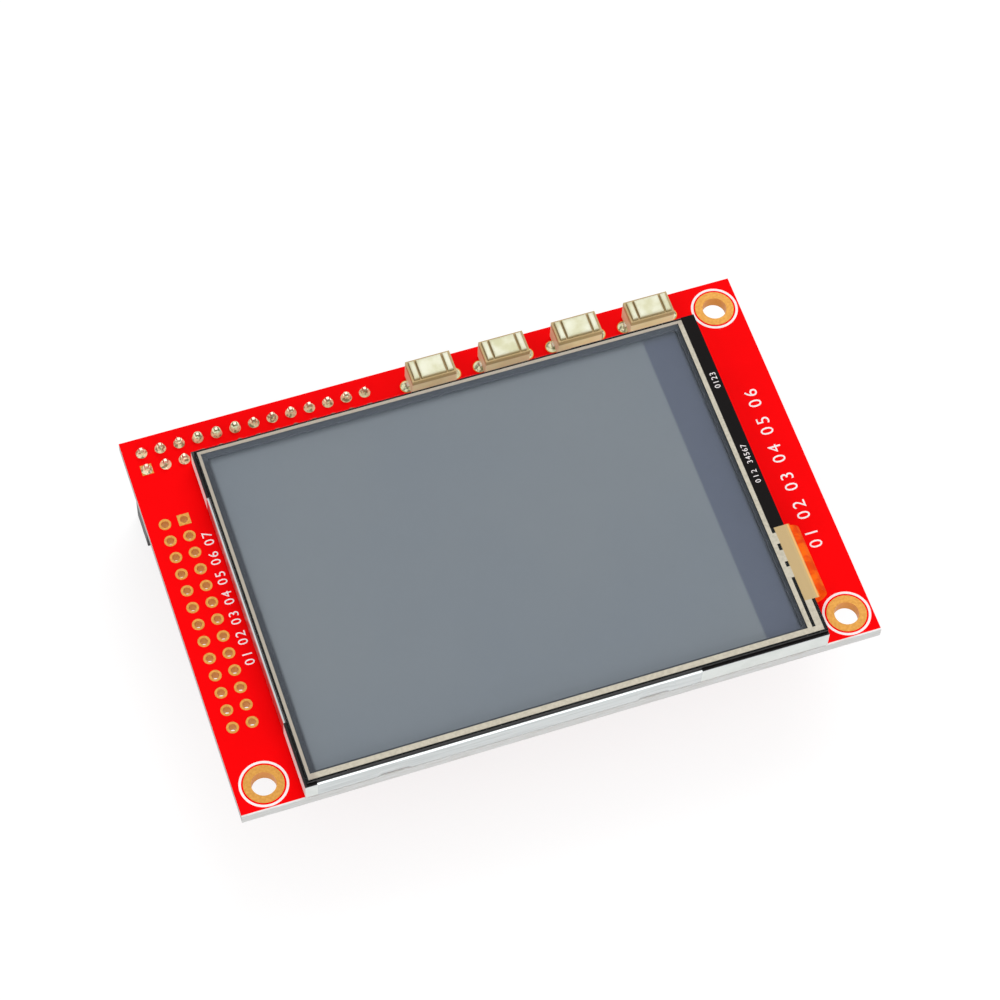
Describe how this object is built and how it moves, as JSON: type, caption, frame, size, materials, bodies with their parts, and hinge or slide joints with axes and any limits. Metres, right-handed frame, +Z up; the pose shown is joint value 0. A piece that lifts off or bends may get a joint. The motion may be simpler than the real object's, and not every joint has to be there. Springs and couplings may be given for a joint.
{
  "type": "touch display board",
  "caption": "Rectangular red circuit board carrying a framed resistive touch display, a row of small push buttons, plated holes and a tall socket underneath.",
  "frame": {"origin": "midway between the two front mounting holes, on the board's underside", "axes": "+Z up out of the display, +X to the right along the front edge, +Y towards the push buttons and the header"},
  "size_m": [0.085, 0.056, 0.0219],
  "materials": {
    "board_red": "satin solder mask",
    "gold_plating": "gold plated copper",
    "socket_plastic": "moulded black",
    "tinned_metal": "tin plated",
    "solder": "solidified solder",
    "ivory_plastic": "moulded",
    "shell_plastic": "moulded, slightly translucent",
    "spring_steel": "polished",
    "white_tape": "tape",
    "white_plastic": "moulded",
    "reflector": "silvered film",
    "clear_acrylic": "clear",
    "white_film": "diffusing",
    "prism_film": "fine prisms",
    "led_body": "moulded",
    "flex_film": "polyimide film",
    "black_tape": "tape",
    "polarizer": "anti-glare film",
    "cell_glass": "clear",
    "silicon": "bare die",
    "bezel_steel": "plated sheet",
    "touch_glass": "clear",
    "border_gasket": "pale adhesive",
    "touch_film": "clear film with a fine haze",
    "chip_plastic": "moulded epoxy",
    "resistor_body": "coated ceramic",
    "capacitor_body": "fired ceramic"
  },
  "bodies": {
    "root": {"circuit_board": "board_red", "mounting_pads": "gold_plating", "grid_pads": "gold_plating", "header_pads": "gold_plating", "switch_pads": "gold_plating", "header_socket": "socket_plastic", "socket_contacts": "tinned_metal", "header_solder": "solder", "switch_solder": "solder", "switch_base_1": "ivory_plastic", "switch_shell_1": "shell_plastic", "snap_dome_1": "spring_steel", "switch_leads_1": "tinned_metal", "switch_base_2": "ivory_plastic", "switch_shell_2": "shell_plastic", "snap_dome_2": "spring_steel", "switch_leads_2": "tinned_metal", "switch_base_3": "ivory_plastic", "switch_shell_3": "shell_plastic", "snap_dome_3": "spring_steel", "switch_leads_3": "tinned_metal", "switch_base_4": "ivory_plastic", "switch_shell_4": "shell_plastic", "snap_dome_4": "spring_steel", "switch_leads_4": "tinned_metal", "display_tape": "white_tape", "backlight_frame": "white_plastic", "reflector_film": "reflector", "light_guide": "clear_acrylic", "diffuser_film": "white_film", "lower_prism_film": "prism_film", "upper_prism_film": "prism_film", "backlight_leds": "led_body", "led_strip": "flex_film", "rim_tape": "black_tape", "rear_polarizer": "polarizer", "tft_glass": "cell_glass", "filter_glass": "cell_glass", "front_polarizer": "polarizer", "driver_chip": "silicon", "display_flex": "flex_film", "steel_bezel": "bezel_steel", "touch_tape": "black_tape", "touch_glass": "touch_glass", "touch_border": "border_gasket", "touch_edge_tape": "black_tape", "touch_film": "touch_film", "touch_tail": "flex_film", "touch_controller": "chip_plastic", "chip_leads": "tinned_metal", "voltage_regulator": "chip_plastic", "backlight_transistor": "chip_plastic", "chip_resistors": "resistor_body", "chip_capacitors": "capacitor_body"},
    "button_1": {"switch_plunger_1": "ivory_plastic"},
    "button_2": {"switch_plunger_2": "ivory_plastic"},
    "button_3": {"switch_plunger_3": "ivory_plastic"},
    "button_4": {"switch_plunger_4": "ivory_plastic"}
  },
  "joints": [
    {"name": "press_1", "type": "slide", "parent": "root", "child": "button_1", "axis": [0, 0, -1], "range_m": [0, 0.00025], "stiffness_N_per_m": 6300},
    {"name": "press_2", "type": "slide", "parent": "root", "child": "button_2", "axis": [0, 0, -1], "range_m": [0, 0.00025], "stiffness_N_per_m": 6300},
    {"name": "press_3", "type": "slide", "parent": "root", "child": "button_3", "axis": [0, 0, -1], "range_m": [0, 0.00025], "stiffness_N_per_m": 6300},
    {"name": "press_4", "type": "slide", "parent": "root", "child": "button_4", "axis": [0, 0, -1], "range_m": [0, 0.00025], "stiffness_N_per_m": 6300}
  ]
}
